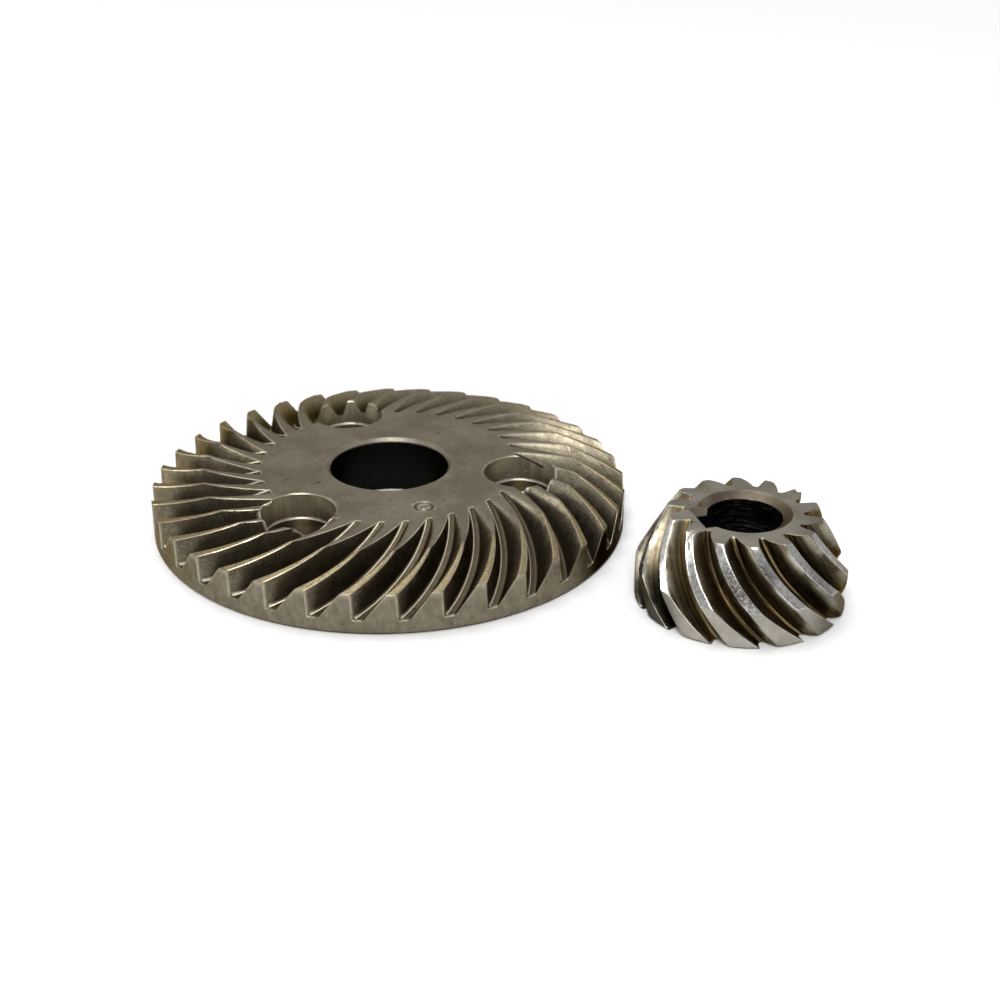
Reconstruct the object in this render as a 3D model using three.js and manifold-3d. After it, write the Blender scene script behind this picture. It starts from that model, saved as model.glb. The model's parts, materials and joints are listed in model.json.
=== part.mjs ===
// Spiral bevel gear pair: a 36 tooth ring gear lying on its back face, and the 14 tooth
// pinion that drives it standing on its large end beside it. Millimetres, +Z up, the floor
// at z = 0, and the origin at the middle of the pair's footprint.
import * as THREE from 'three';
import { mergeVertices } from 'three/addons/utils/BufferGeometryUtils.js';
import Module from 'manifold-3d';

const wasm = await Module();
wasm.setup();

// ---- Ring gear: driving dimensions ----
const RING = {
  teeth: 36,
  outerRadius: 34,
  faceHeight: 8.4, // back face to the flat front face
  boreRadius: 8.5,
  boreChamfer: 0.5,
  rimChamfer: 0.4, // on the back edge of the rim
  tipHeightAtRim: 5.9, // tooth tips above the back face, at the rim
  tipSlope: 0.34, // rise of the face cone per millimetre towards the axis
  rootHeightAtRim: 2.1, // gap floors above the back face, at the rim
  rootSlope: 0.405, // rise of the root cone per millimetre towards the axis
  toothLineInner: 18.7, // radius where the tooth line angle below is measured from
  firstGapAngle: 0.2, // degrees, gap floor centre at toothLineInner
  spiralRate: -1.369, // degrees per millimetre outwards
  spiralCurve: -0.01237, // degrees per square millimetre
  floorWidthInner: 0.88, // gap floor width at toothLineInner
  floorWidthRim: 1.43, // gap floor width at the rim
  wallLean: { left: -0.04, right: 0.77 }, // gap walls at the rim, millimetres across per millimetre up
  wallTwist: { left: -0.0324, right: -0.0176 }, // change of that lean per millimetre towards the axis
};

const POCKET = {
  count: 3,
  pitchRadius: 19,
  firstAngle: -7.2, // degrees
  mouthRadius: 5.15,
  floorRadius: 4.9,
  depth: 3.8,
};

// ---- Pinion: driving dimensions ----
const PINION = {
  teeth: 14,
  height: 12.6,
  outerRadius: 14, // cylindrical band round the large end
  bandHeight: 5.1,
  smallEndRadius: 10.1, // tooth tips at the small end
  rootRadiusSmallEnd: 7.7,
  rootRadiusLargeEnd: 12.6,
  boreRadius: 5,
  boreChamferDepth: 0.8,
  boreChamferWidth: 1.25, // wide lead-in at the small end
  backChamfer: 0.5,
  rimChamfer: 0.3,
  firstGapAngle: -5.3, // degrees, gap floor centre at the small end
  spiralRate: 2.8, // degrees per millimetre down from the small end
  spiralCurve: 0.103, // degrees per square millimetre
  floorWidthSmallEnd: 0.6,
  floorWidthLargeEnd: 0.85,
  wallLean: { left: -0.226, right: 0.92 }, // gap walls, millimetres across per millimetre out
  keywayAngle: 197, // degrees
  keywayWidth: 6,
  keywayReach: 6.75, // bore axis to the bottom of the keyway
};

// Place of the pinion's axis from the ring gear's axis.
const PINION_OFFSET = new THREE.Vector2(48.05, -22.9);

// ---- Fineness of the facets ----
const RING_SEGMENTS = 108;
const RING_GAP_STEPS = 8;
const PINION_SEGMENTS = 84;
const PINION_GAP_STEPS = 10;
const POCKET_SEGMENTS = 28;

const CLEAR = 1; // how far a cutter runs past the surface that it opens
const MERGE_DISTANCE = 1e-5; // vertices closer than this are one vertex

const STEEL = {
  ring: { color: 0x6f6a5f, roughness: 0.55, metalness: 0.9 },
  pinion: { color: 0x8b8678, roughness: 0.38, metalness: 0.95 },
};

const { degToRad, lerp } = THREE.MathUtils;

// A closed three.js geometry as a solid that can be joined and cut.
function toSolid(geometry) {
  const bare = geometry.clone();
  bare.deleteAttribute('normal');
  bare.deleteAttribute('uv');
  const merged = mergeVertices(bare, MERGE_DISTANCE);
  return new wasm.Manifold(new wasm.Mesh({
    numProp: 3,
    vertProperties: new Float32Array(merged.attributes.position.array),
    triVerts: new Uint32Array(merged.index.array),
  }));
}

function toGeometry(solid) {
  const cut = solid.getMesh();
  const geometry = new THREE.BufferGeometry();
  geometry.setAttribute('position', new THREE.BufferAttribute(cut.vertProperties, 3));
  geometry.setIndex(new THREE.BufferAttribute(cut.triVerts, 1));
  return geometry;
}

// A solid turned about the Z axis from [radius, height] corners, listed anticlockwise.
function turned(corners, segments) {
  const points = corners.map(([radius, height]) => new THREE.Vector2(radius, height));
  if (corners[0][0] > 0) {
    points.push(points[0].clone());
  }
  return new THREE.LatheGeometry(points, segments).rotateX(Math.PI / 2);
}

// The space between two teeth: a block whose cross-sections are placed one by one.
// place(side, level, along) gives the point for a side of -1 or 1, a level of 0 on the
// gap floor or 1 above the tips, and a place from 0 to 1 along the tooth.
function gapCutter(steps, place) {
  const block = new THREE.BoxGeometry(2, 1, 1, 1, 1, steps).translate(0, 0.5, 0.5);
  const position = block.attributes.position;
  for (let i = 0; i < position.count; i += 1) {
    const point = place(Math.sign(position.getX(i)), position.getY(i), position.getZ(i));
    position.setXYZ(i, point.x, point.y, point.z);
  }
  return block;
}

function polar(radius, angle, height) {
  return new THREE.Vector3(radius * Math.cos(angle), radius * Math.sin(angle), height);
}

// ---- Ring gear ----
function ringGapCutter() {
  const wallHeight = RING.tipHeightAtRim - RING.rootHeightAtRim + CLEAR;
  const inner = RING.outerRadius - (RING.faceHeight - RING.rootHeightAtRim) / RING.rootSlope - CLEAR;
  const outer = RING.outerRadius + CLEAR;
  return gapCutter(RING_GAP_STEPS, (side, level, along) => {
    const radius = lerp(inner, outer, along);
    const fromRim = RING.outerRadius - radius;
    const fromInner = radius - RING.toothLineInner;
    const share = fromInner / (RING.outerRadius - RING.toothLineInner);
    const halfFloor = lerp(RING.floorWidthInner, RING.floorWidthRim, share) / 2;
    const wall = side < 0 ? 'left' : 'right';
    const lean = RING.wallLean[wall] + RING.wallTwist[wall] * fromRim;
    const across = side * halfFloor + lean * level * wallHeight;
    const line = RING.firstGapAngle + RING.spiralRate * fromInner + RING.spiralCurve * fromInner ** 2;
    const floor = RING.rootHeightAtRim + RING.rootSlope * fromRim;
    return polar(radius, degToRad(line) + across / radius, floor + level * wallHeight);
  });
}

function pocketCutter() {
  const floor = RING.faceHeight - POCKET.depth;
  const flare = (POCKET.mouthRadius - POCKET.floorRadius) / POCKET.depth;
  return turned([
    [0, floor],
    [POCKET.floorRadius, floor],
    [POCKET.mouthRadius + flare * CLEAR, RING.faceHeight + CLEAR],
    [0, RING.faceHeight + CLEAR],
  ], POCKET_SEGMENTS).translate(POCKET.pitchRadius, 0, 0);
}

function makeRingGear() {
  const kneeRadius = RING.outerRadius - (RING.faceHeight - RING.tipHeightAtRim) / RING.tipSlope;
  let gear = toSolid(turned([
    [RING.boreRadius + RING.boreChamfer, 0],
    [RING.outerRadius - RING.rimChamfer, 0],
    [RING.outerRadius, RING.rimChamfer],
    [RING.outerRadius, RING.tipHeightAtRim],
    [kneeRadius, RING.faceHeight],
    [RING.boreRadius + RING.boreChamfer, RING.faceHeight],
    [RING.boreRadius, RING.faceHeight - RING.boreChamfer],
    [RING.boreRadius, RING.boreChamfer],
  ], RING_SEGMENTS));
  const gap = ringGapCutter();
  for (let i = 0; i < RING.teeth; i += 1) {
    gear = gear.subtract(toSolid(gap.clone().rotateZ((2 * Math.PI * i) / RING.teeth)));
  }
  const pocket = pocketCutter();
  for (let i = 0; i < POCKET.count; i += 1) {
    const angle = degToRad(POCKET.firstAngle) + (2 * Math.PI * i) / POCKET.count;
    gear = gear.subtract(toSolid(pocket.clone().rotateZ(angle)));
  }
  const mesh = new THREE.Mesh(toGeometry(gear), new THREE.MeshStandardMaterial(STEEL.ring));
  mesh.name = 'ring_gear';
  return mesh;
}

// ---- Pinion ----
function pinionGapCutter() {
  const bandShare = 1 - PINION.bandHeight / PINION.height;
  const bandRoot = lerp(PINION.rootRadiusSmallEnd, PINION.rootRadiusLargeEnd, bandShare);
  const wallHeight = PINION.outerRadius - bandRoot + CLEAR;
  return gapCutter(PINION_GAP_STEPS, (side, level, along) => {
    const down = lerp(-CLEAR, PINION.height + CLEAR, along);
    const share = down / PINION.height;
    const halfFloor = lerp(PINION.floorWidthSmallEnd, PINION.floorWidthLargeEnd, share) / 2;
    const root = lerp(PINION.rootRadiusSmallEnd, PINION.rootRadiusLargeEnd, share);
    const radius = root + level * wallHeight;
    const lean = side < 0 ? PINION.wallLean.left : PINION.wallLean.right;
    const across = side * halfFloor + lean * level * wallHeight;
    const line = PINION.firstGapAngle + PINION.spiralRate * down + PINION.spiralCurve * down ** 2;
    return polar(radius, degToRad(line) + across / radius, PINION.height - down);
  });
}

function keywayCutter() {
  return new THREE.BoxGeometry(PINION.keywayReach, PINION.keywayWidth, PINION.height + 2 * CLEAR)
    .translate(PINION.keywayReach / 2, 0, PINION.height / 2)
    .rotateZ(degToRad(PINION.keywayAngle));
}

function makePinion() {
  let gear = toSolid(turned([
    [PINION.boreRadius + PINION.backChamfer, 0],
    [PINION.outerRadius - PINION.rimChamfer, 0],
    [PINION.outerRadius, PINION.rimChamfer],
    [PINION.outerRadius, PINION.bandHeight],
    [PINION.smallEndRadius, PINION.height],
    [PINION.boreRadius + PINION.boreChamferWidth, PINION.height],
    [PINION.boreRadius, PINION.height - PINION.boreChamferDepth],
    [PINION.boreRadius, PINION.backChamfer],
  ], PINION_SEGMENTS));
  const gap = pinionGapCutter();
  for (let i = 0; i < PINION.teeth; i += 1) {
    gear = gear.subtract(toSolid(gap.clone().rotateZ((2 * Math.PI * i) / PINION.teeth)));
  }
  gear = gear.subtract(toSolid(keywayCutter()));
  const mesh = new THREE.Mesh(toGeometry(gear), new THREE.MeshStandardMaterial(STEEL.pinion));
  mesh.name = 'pinion';
  return mesh;
}

// ---- The pair, with the middle of its footprint at the origin ----
const lowest = new THREE.Vector2(
  Math.min(-RING.outerRadius, PINION_OFFSET.x - PINION.outerRadius),
  Math.min(-RING.outerRadius, PINION_OFFSET.y - PINION.outerRadius),
);
const highest = new THREE.Vector2(
  Math.max(RING.outerRadius, PINION_OFFSET.x + PINION.outerRadius),
  Math.max(RING.outerRadius, PINION_OFFSET.y + PINION.outerRadius),
);
const middle = lowest.clone().add(highest).multiplyScalar(0.5);

const group = new THREE.Group();
const ringGear = makeRingGear();
ringGear.position.set(-middle.x, -middle.y, 0);
group.add(ringGear);
const pinion = makePinion();
pinion.position.set(PINION_OFFSET.x - middle.x, PINION_OFFSET.y - middle.y, 0);
group.add(pinion);

export default group;
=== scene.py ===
"""Looks for a spiral bevel gear pair: a ring gear lying on its back and its pinion beside it.

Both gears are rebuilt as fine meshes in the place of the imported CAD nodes, with rounded tooth
edges, filleted gaps, broken corners and small nicks, and get procedural steels. Gear sizes are
in millimetres from each gear's own axis and back face, and the scene is in metres.
"""

import json
import math

import bmesh
import bpy
import numpy as np
from mathutils import Matrix, Vector, noise


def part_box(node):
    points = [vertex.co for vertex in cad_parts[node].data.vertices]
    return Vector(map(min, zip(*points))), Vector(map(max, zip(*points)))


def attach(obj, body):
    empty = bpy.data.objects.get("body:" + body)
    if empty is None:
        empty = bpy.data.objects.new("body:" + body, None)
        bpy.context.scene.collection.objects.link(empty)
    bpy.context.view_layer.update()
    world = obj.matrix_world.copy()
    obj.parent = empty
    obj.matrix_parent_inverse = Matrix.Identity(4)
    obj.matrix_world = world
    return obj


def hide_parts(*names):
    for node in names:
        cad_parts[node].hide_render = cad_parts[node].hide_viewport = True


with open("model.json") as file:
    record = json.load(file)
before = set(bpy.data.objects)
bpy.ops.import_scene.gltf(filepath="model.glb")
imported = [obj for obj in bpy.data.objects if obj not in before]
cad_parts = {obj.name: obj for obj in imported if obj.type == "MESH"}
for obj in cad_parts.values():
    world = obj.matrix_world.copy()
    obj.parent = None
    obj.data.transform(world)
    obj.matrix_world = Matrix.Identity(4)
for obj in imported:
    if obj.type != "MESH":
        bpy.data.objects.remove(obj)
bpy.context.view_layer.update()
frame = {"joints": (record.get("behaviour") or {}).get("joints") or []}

MM = 0.001
RING_LOW, RING_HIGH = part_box("ring_gear")
PINION_LOW, PINION_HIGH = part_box("pinion")
PINION_JOINT = next(joint for joint in frame["joints"] if joint["name"] == "pinion_spin")
RING_AXIS = (RING_LOW + RING_HIGH).xy / 2
PINION_AXIS = Vector(PINION_JOINT["pos_m"]).xy

# ---- Ring gear ----
RING_TEETH = 36
RING_RADIUS = (RING_HIGH.x - RING_LOW.x) / 2 / MM
RING_FACE = RING_HIGH.z / MM
RING_BORE = 8.5
RING_BORE_CHAMFER = 0.5
RING_BACK_CHAMFER = 0.4
RING_BORE_BACK_CHAMFER = 0.15
RING_TIP_AT_RIM = 5.9
RING_TIP_SLOPE = 0.34
RING_ROOT_AT_RIM = 2.1
RING_ROOT_SLOPE = 0.405
RING_LINE_INNER = 18.7  # radius that the tooth line is measured from
RING_FIRST_GAP = 0.2  # degrees, at that radius
RING_SPIRAL = (-1.369, -0.01237)  # degrees per millimetre outwards, and per square millimetre
RING_FLOOR_WIDTH = (0.88, 1.43)  # gap floor at RING_LINE_INNER and at the rim
RING_WALL_LEAN = ((-0.04, -0.0324), (0.77, -0.0176))  # left and right: at the rim, per millimetre in
RING_KNEE = RING_RADIUS - (RING_FACE - RING_TIP_AT_RIM) / RING_TIP_SLOPE
RING_RUN_OUT = RING_RADIUS - (RING_FACE - RING_ROOT_AT_RIM) / RING_ROOT_SLOPE
RING_END_CHAMFER = 0.09  # round each tooth's end at the rim
RING_ROUNDS = (0.17, 0.16, 0.75, 0.32)  # a gap's corners, from its left edge to its right edge
RING_WEAR = 0.05  # wear of a sharp edge, before noise makes it uneven
# How bright a worn edge gets: any edge of a tooth, its left edge, its end at the rim, and so on.
# On the stamped ring the worn-edge brightness is a painted highlight.
RING_SHINE = {"tooth": 0.35, "left": 1, "end": 0.52, "rim": 0.1, "pocket": 0.45, "bore": 0.4, "stamp": 0.8}
# How much painted shade fills the nicks and the stamped groove.
NICK_DARK, STAMP_DARK = 0.8, 0.35
RING_BACK_ROWS = (27, 20, 14)  # radii of the rows of points between the back face's edges
RING_BORE_ROWS = 14
TIP_ROUND = 0.05  # reach of the rounding where the tips change slope
RUN_OUT_ROUND = 0.03  # the same where a gap closes into the face

POCKET_COUNT = 3
POCKET_PITCH = 19.0
POCKET_FIRST = -7.2  # degrees
POCKET_MOUTH = 5.15
POCKET_FLOOR = 4.9
POCKET_DEPTH = 3.8
POCKET_FILLET = 0.42
POCKET_LIP = 0.14
POCKET_SEGMENTS = 96

# A plain stamped ring on the flat face: angle in degrees, radius, its size and its groove.
STAMP = {"angle": -68, "radius": 15.0, "size": 1.2, "groove": 0.36, "lift": 0.2}
# Nicks in the flat face: angle in degrees, radius, length, width and turn in degrees.
FACE_NICKS = (
    (-110.5, 17.6, 0.9, 0.28, 30),
    (-111, 13.6, 0.55, 0.3, -20),
    (-146, 11.5, 0.7, 0.3, 60),
    (-158, 15.2, 0.45, 0.2, 100),
    (-86, 12.1, 0.35, 0.25, 10),
    (171, 17.3, 1.3, 0.32, 15),
    (58, 12.4, 0.5, 0.2, 130),
    (15, 12.8, 0.3, 0.25, 0),
)
# Nicks in the rim: angle in degrees, height, length, width and turn in degrees.
RIM_NICKS = (
    (-97, 1.5, 0.5, 0.3, 0),
    (-73, 0.9, 0.45, 0.25, 40),
    (-118, 2.4, 0.35, 0.2, 90),
    (-52, 1.3, 0.5, 0.2, 20),
    (-141, 1.2, 0.4, 0.25, 60),
    (24, 1.6, 0.6, 0.25, 10),
    (95, 1.1, 0.5, 0.3, 80),
)

# ---- Pinion ----
PINION_TEETH = 14
PINION_RADIUS = (PINION_HIGH.x - PINION_LOW.x) / 2 / MM
PINION_HEIGHT = PINION_HIGH.z / MM
PINION_BAND = 5.1  # cylindrical band round the large end
PINION_TIP_SMALL = 10.1
PINION_ROOT = (7.7, 12.6)  # at the small end and at the large end
PINION_BORE = 5.0
PINION_LEAD_IN = (1.25, 0.8)  # width and depth of the bore's chamfer at the small end
PINION_BACK_CHAMFER = 0.5
PINION_RIM_CHAMFER = 0.3
PINION_FIRST_GAP = -5.3  # degrees, at the small end
PINION_SPIRAL = (2.8, 0.103)  # degrees per millimetre down, and per square millimetre
PINION_FLOOR_WIDTH = (0.6, 0.85)
PINION_WALL_LEAN = (-0.226, 0.92)
PINION_END_CHAMFER = 0.1
PINION_ROUNDS = (0.12, 0.4, 1.0, 0.22)
PINION_TOE_ROUNDS = (0.25, 0.3, 0.3, 0.9)  # added at the small end, and fading out below it
PINION_TOE_REACH = 0.8
PINION_BULGE = 0.26  # how far the sloping wall of a gap swells into the gap
PINION_WEAR = 0.04
PINION_SHINE = {"tooth": 0.5, "left": 1, "small_end": 0.3, "base": 0.1}
PINION_COLLAR = 0.55  # width of the small end's plain ring inside the gap floors
PINION_FACE_ROW = 6.7  # radius of a row of points between the lead-in and that ring
PINION_BACK_ROWS = (11.3, 9, 7)
PINION_BORE_ROWS = 30
KEYWAY = {"angle": 197, "width": 6.0, "reach": 6.75, "lip": 0.12}
# Chips: angle in degrees, radius, height, size and depth.
PINION_CHIPS = (
    (-141, 9.9, 12.4, 0.6, 0.3),
    (-137, 10.6, 11.2, 0.35, 0.15),
    (-78, 12.3, 8.4, 0.45, 0.16),
    (-108, 10.4, 11.9, 0.35, 0.16),
    (-2, 8.9, 12.6, 0.45, 0.22),
    (38, 10.0, 12.4, 0.5, 0.25),
    (150, 10.1, 12.5, 0.5, 0.22),
    (-46, 13.9, 4.9, 0.4, 0.14),
    (95, 13.6, 5.6, 0.45, 0.18),
    (-167, 13.2, 6.6, 0.4, 0.16),
)

ARC_STEPS = 4  # facets in each rounded corner
SHARP_ANGLE = math.radians(28)


def lerp(pair, share):
    return pair[0] + (pair[1] - pair[0]) * share


def degrees_to_xy(angle, radius):
    return radius * math.cos(math.radians(angle)), radius * math.sin(math.radians(angle))


# ---- Cross-sections ----
def between(start, end, count):
    """count points inside the stretch from start to end, leaving both ends out."""
    shares = (np.arange(count) + 1) / (count + 1)
    return start[:, None, :] + (end - start)[:, None, :] * shares[None, :, None]


def rounded(corners, radii, spans):
    """Cross-sections with rounded corners, all with the same number of points.

    corners is (stations, corners, 2). radii has a number, or a number for each station, for
    each inner corner. spans has the number of extra points along each straight stretch.
    """
    steps = np.diff(corners, axis=1)
    length = np.maximum(np.linalg.norm(steps, axis=2), 1e-9)
    heading = steps / length[..., None]
    columns = [corners[:, :1]]
    last = corners[:, 0]
    for i, radius in enumerate(radii):
        corner = corners[:, i + 1]
        cosine = np.sum(heading[:, i] * heading[:, i + 1], axis=1)
        reach = radius * np.tan(np.arccos(np.clip(cosine, -1, 1)) / 2)
        room = 0.46 * np.minimum(length[:, i], length[:, i + 1])
        reach = np.minimum(reach, room)[:, None]
        start = corner - heading[:, i] * reach
        end = corner + heading[:, i + 1] * reach
        columns.append(between(last, start, spans[i]))
        for u in np.linspace(0, 1, ARC_STEPS + 1):
            bend = (1 - u) ** 2 * start + 2 * u * (1 - u) * corner + u ** 2 * end
            columns.append(bend[:, None, :])
        last = end
    columns.append(between(last, corners[:, -1], spans[-1]))
    return np.concatenate(columns, axis=1)


def smooth_min(a, b, reach):
    """The lower of a and b, with the crease between them rounded over reach."""
    share = np.clip(0.5 + 0.5 * (b - a) / reach, 0, 1)
    return b + (a - b) * share - reach * share * (1 - share)


def gap_corners(tips, roots, half, left, right, land, pitch):
    """One pitch of teeth as (across, height) corners: half a land, a gap, half a land."""
    return np.stack([
        np.stack([land - pitch, tips], axis=1),
        np.stack([left, tips], axis=1),
        np.stack([-half, roots], axis=1),
        np.stack([half, roots], axis=1),
        np.stack([right, tips], axis=1),
        np.stack([land, tips], axis=1),
    ], axis=1)


def inset(section, distance):
    """One pitch of (across, height) points moved into the metal below it."""
    tangent = np.gradient(section, axis=0)
    normal = np.stack([tangent[:, 1], -tangent[:, 0]], axis=1)
    normal /= np.linalg.norm(normal, axis=1, keepdims=True)
    return section + normal * distance


# ---- Meshes ----
def closed_shell(name, rows):
    """A mesh from rows of points that closes on itself both round the axis and back to row 0."""
    rows = np.stack(rows)
    count, columns = rows.shape[:2]
    row = np.arange(count)[:, None]
    column = np.arange(columns)[None, :]
    next_row = (row + 1) % count
    next_column = (column + 1) % columns
    faces = np.stack([
        next_row * columns + column,
        next_row * columns + next_column,
        row * columns + next_column,
        row * columns + column,
    ], axis=-1).reshape(-1, 4)
    mesh = bpy.data.meshes.new(name)
    mesh.from_pydata((rows.reshape(-1, 3) * MM).tolist(), [], faces.tolist())
    mesh.update()
    return mesh


def arc(centre, radius, start, end, steps):
    """Points of an arc as (across, height), with its angles in degrees."""
    angles = np.radians(np.linspace(start, end, steps + 1))
    return [(centre[0] + radius * math.cos(a), centre[1] + radius * math.sin(a)) for a in angles]


def turned_mesh(name, profile, segments):
    """A solid turned about Z from (radius, height) points that start and end on the axis."""
    maker = bmesh.new()
    loops = []
    for radius, height in profile:
        count = 1 if radius == 0 else segments
        corners = [degrees_to_xy(360 * i / segments, radius * MM) for i in range(count)]
        loops.append([maker.verts.new((x, y, height * MM)) for x, y in corners])
    join_loops(maker, loops, segments)
    return made_mesh(name, maker)


def join_loops(maker, loops, count):
    for lower, upper in zip(loops, loops[1:]):
        for i in range(count):
            j = (i + 1) % count
            face = [lower[i % len(lower)], lower[j % len(lower)],
                    upper[j % len(upper)], upper[i % len(upper)]]
            maker.faces.new(list(dict.fromkeys(face)))


def made_mesh(name, maker):
    mesh = bpy.data.meshes.new(name)
    maker.to_mesh(mesh)
    maker.free()
    return mesh


def add_object(name, mesh, place=None):
    piece = bpy.data.objects.new(name, mesh)
    bpy.context.scene.collection.objects.link(piece)
    if place is not None:
        piece.matrix_world = place
    return piece


def cut(piece, cutters):
    """Takes the cutters out of the piece, and the result becomes its mesh."""
    for cutter in cutters:
        modifier = piece.modifiers.new("cut", "BOOLEAN")
        modifier.operation = "DIFFERENCE"
        modifier.solver = "MANIFOLD"
        modifier.object = cutter
    bpy.context.view_layer.update()
    graph = bpy.context.evaluated_depsgraph_get()
    mesh = bpy.data.meshes.new_from_object(piece.evaluated_get(graph))
    piece.modifiers.clear()
    piece.data = mesh
    for cutter in cutters:
        bpy.data.objects.remove(cutter)


def nick_cutter(place, length, width):
    """A small rounded cutter that leaves a shallow nick, long along its own X."""
    maker = bmesh.new()
    bmesh.ops.create_icosphere(maker, subdivisions=2, radius=MM / 2)
    shape = Matrix.Diagonal((length, width, width * 0.5, 1))
    bmesh.ops.transform(maker, matrix=shape, verts=maker.verts)
    return add_object("nick_cutter", made_mesh("nick_cutter", maker), place)


# ---- Ring gear ----
def ring_tips(radius):
    cone = RING_TIP_AT_RIM + RING_TIP_SLOPE * (RING_RADIUS - radius)
    return smooth_min(np.full_like(radius, RING_FACE), cone, TIP_ROUND)


def ring_floor(radius):
    return RING_ROOT_AT_RIM + RING_ROOT_SLOPE * (RING_RADIUS - radius)


def ring_line(radius):
    """Angle of a gap's centre line in radians, which stays the same inside the gap's inner end."""
    inner = np.maximum(radius, RING_RUN_OUT - 1) - RING_LINE_INNER
    return np.radians(RING_FIRST_GAP + RING_SPIRAL[0] * inner + RING_SPIRAL[1] * inner ** 2)


def ring_gap(radius):
    """Half the floor's width, and the places across of the gap's two edges and of the land's middle."""
    from_rim = RING_RADIUS - radius
    share = np.clip((radius - RING_LINE_INNER) / (RING_RADIUS - RING_LINE_INNER), -0.1, 1)
    half = lerp(RING_FLOOR_WIDTH, share) / 2
    depth = np.maximum(ring_tips(radius) - ring_floor(radius), 0.12)
    lean = [np.maximum(at_rim + twist * from_rim, -0.6) for at_rim, twist in RING_WALL_LEAN]
    left = -half + lean[0] * depth
    right = half + lean[1] * depth
    pitch = 2 * math.pi * radius / RING_TEETH
    return half, depth, left, right, (left + right + pitch) / 2, pitch


def ring_stations():
    """Radii of the cross-sections, closer together where the surface turns."""
    flat = [9.6, 11.0, 13.0, 15.0, 16.6]
    run_out = RING_RUN_OUT + np.array([-1.0, -0.6, -0.35, -0.15, 0, 0.15, 0.3, 0.5, 0.8, 1.2, 1.8])
    teeth = np.linspace(RING_RUN_OUT + 2.5, RING_KNEE - 0.9, 8)
    knee = RING_KNEE + np.array([-0.45, -0.2, -0.08, 0.08, 0.2, 0.45])
    outer = np.linspace(RING_KNEE + 1.0, RING_RADIUS - 0.8, 9)
    rim = RING_RADIUS - np.array([0.4, RING_END_CHAMFER])
    return np.concatenate([flat, run_out, teeth, knee, outer, rim])


def ring_sections(radii):
    """One pitch of the toothed face at each radius, as (across, height)."""
    half, depth, left, right, land, pitch = ring_gap(radii)
    tips = ring_tips(radii)
    floor = ring_floor(radii)
    corners = gap_corners(tips, tips - depth, half, left, right, land, pitch)
    sections = rounded(corners, RING_ROUNDS, (1, 3, 2, 3, 1))
    # Inside the run-out the root cone is above the face, so the gap closes into the face.
    lift = np.maximum(floor - tips + depth, 0)[:, None]
    closed = smooth_min(sections[..., 1] + lift, tips[:, None], RUN_OUT_ROUND)
    sections[..., 1] = np.where(lift > 0, closed, sections[..., 1])
    return sections


def ring_row(radius, line, section):
    """A whole turn of points at one radius from one pitch of (across, height)."""
    turns = np.repeat(np.arange(RING_TEETH), len(section)) * 2 * math.pi / RING_TEETH
    angle = turns + line + np.tile(section[:, 0], RING_TEETH) / radius
    height = np.tile(section[:, 1], RING_TEETH)
    return np.stack([radius * np.cos(angle), radius * np.sin(angle), height], axis=1)


def ring_flat_row(radius, height, line, angles):
    section = np.stack([angles * radius, np.full_like(angles, height)], axis=1)
    return ring_row(radius, line, section)


def make_ring_mesh():
    radii = ring_stations()
    sections = ring_sections(radii)
    rows = [ring_row(r, ring_line(r), section) for r, section in zip(radii, sections)]
    # Tooth ends: a small chamfer round the outline, then straight down the rim.
    outline = inset(sections[-1], RING_END_CHAMFER)
    line = ring_line(RING_RADIUS)
    angles = outline[:, 0] / RING_RADIUS
    band = RING_ROOT_AT_RIM - 0.5
    for share in (0, 0.4, 0.75):
        lower = np.stack([outline[:, 0], lerp((outline[:, 1], band), share)], axis=1)
        rows.append(ring_row(RING_RADIUS, line, lower))
    for height in (band, band / 2, RING_BACK_CHAMFER):
        rows.append(ring_flat_row(RING_RADIUS, height, line, angles))
    outer, inner = RING_RADIUS - RING_BACK_CHAMFER, RING_BORE + RING_BORE_BACK_CHAMFER
    for radius in (outer, *RING_BACK_ROWS, inner):
        rows.append(ring_flat_row(radius, 0, line, angles))
    # Up the bore, turning step by step to meet the face's columns.
    face_line = ring_line(radii[0])
    face_angles = sections[0][:, 0] / radii[0]
    for share in np.linspace(0, 1, RING_BORE_ROWS):
        height = lerp((RING_BORE_BACK_CHAMFER, RING_FACE - RING_BORE_CHAMFER), share)
        rows.append(ring_flat_row(RING_BORE, height, lerp((line, face_line), share),
                                  lerp((angles, face_angles), share)))
    rows.append(ring_flat_row(RING_BORE + RING_BORE_CHAMFER, RING_FACE, face_line, face_angles))
    return closed_shell("ring_gear", rows)


def pocket_cutters():
    floor = RING_FACE - POCKET_DEPTH
    profile = [(0, floor)]
    profile += arc((POCKET_FLOOR - POCKET_FILLET, floor + POCKET_FILLET), POCKET_FILLET, -90, 0, 6)
    profile += [
        (POCKET_MOUTH, RING_FACE - POCKET_LIP),
        (POCKET_MOUTH + 2 * POCKET_LIP, RING_FACE + POCKET_LIP),
        (POCKET_MOUTH + 2 * POCKET_LIP, RING_FACE + 1),
        (0, RING_FACE + 1),
    ]
    cutters = []
    for i in range(POCKET_COUNT):
        x, y = degrees_to_xy(POCKET_FIRST + 360 * i / POCKET_COUNT, POCKET_PITCH * MM)
        mesh = turned_mesh("pocket_cutter", profile, POCKET_SEGMENTS)
        cutters.append(add_object("pocket_cutter", mesh, Matrix.Translation((x, y, 0))))
    return cutters


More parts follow.
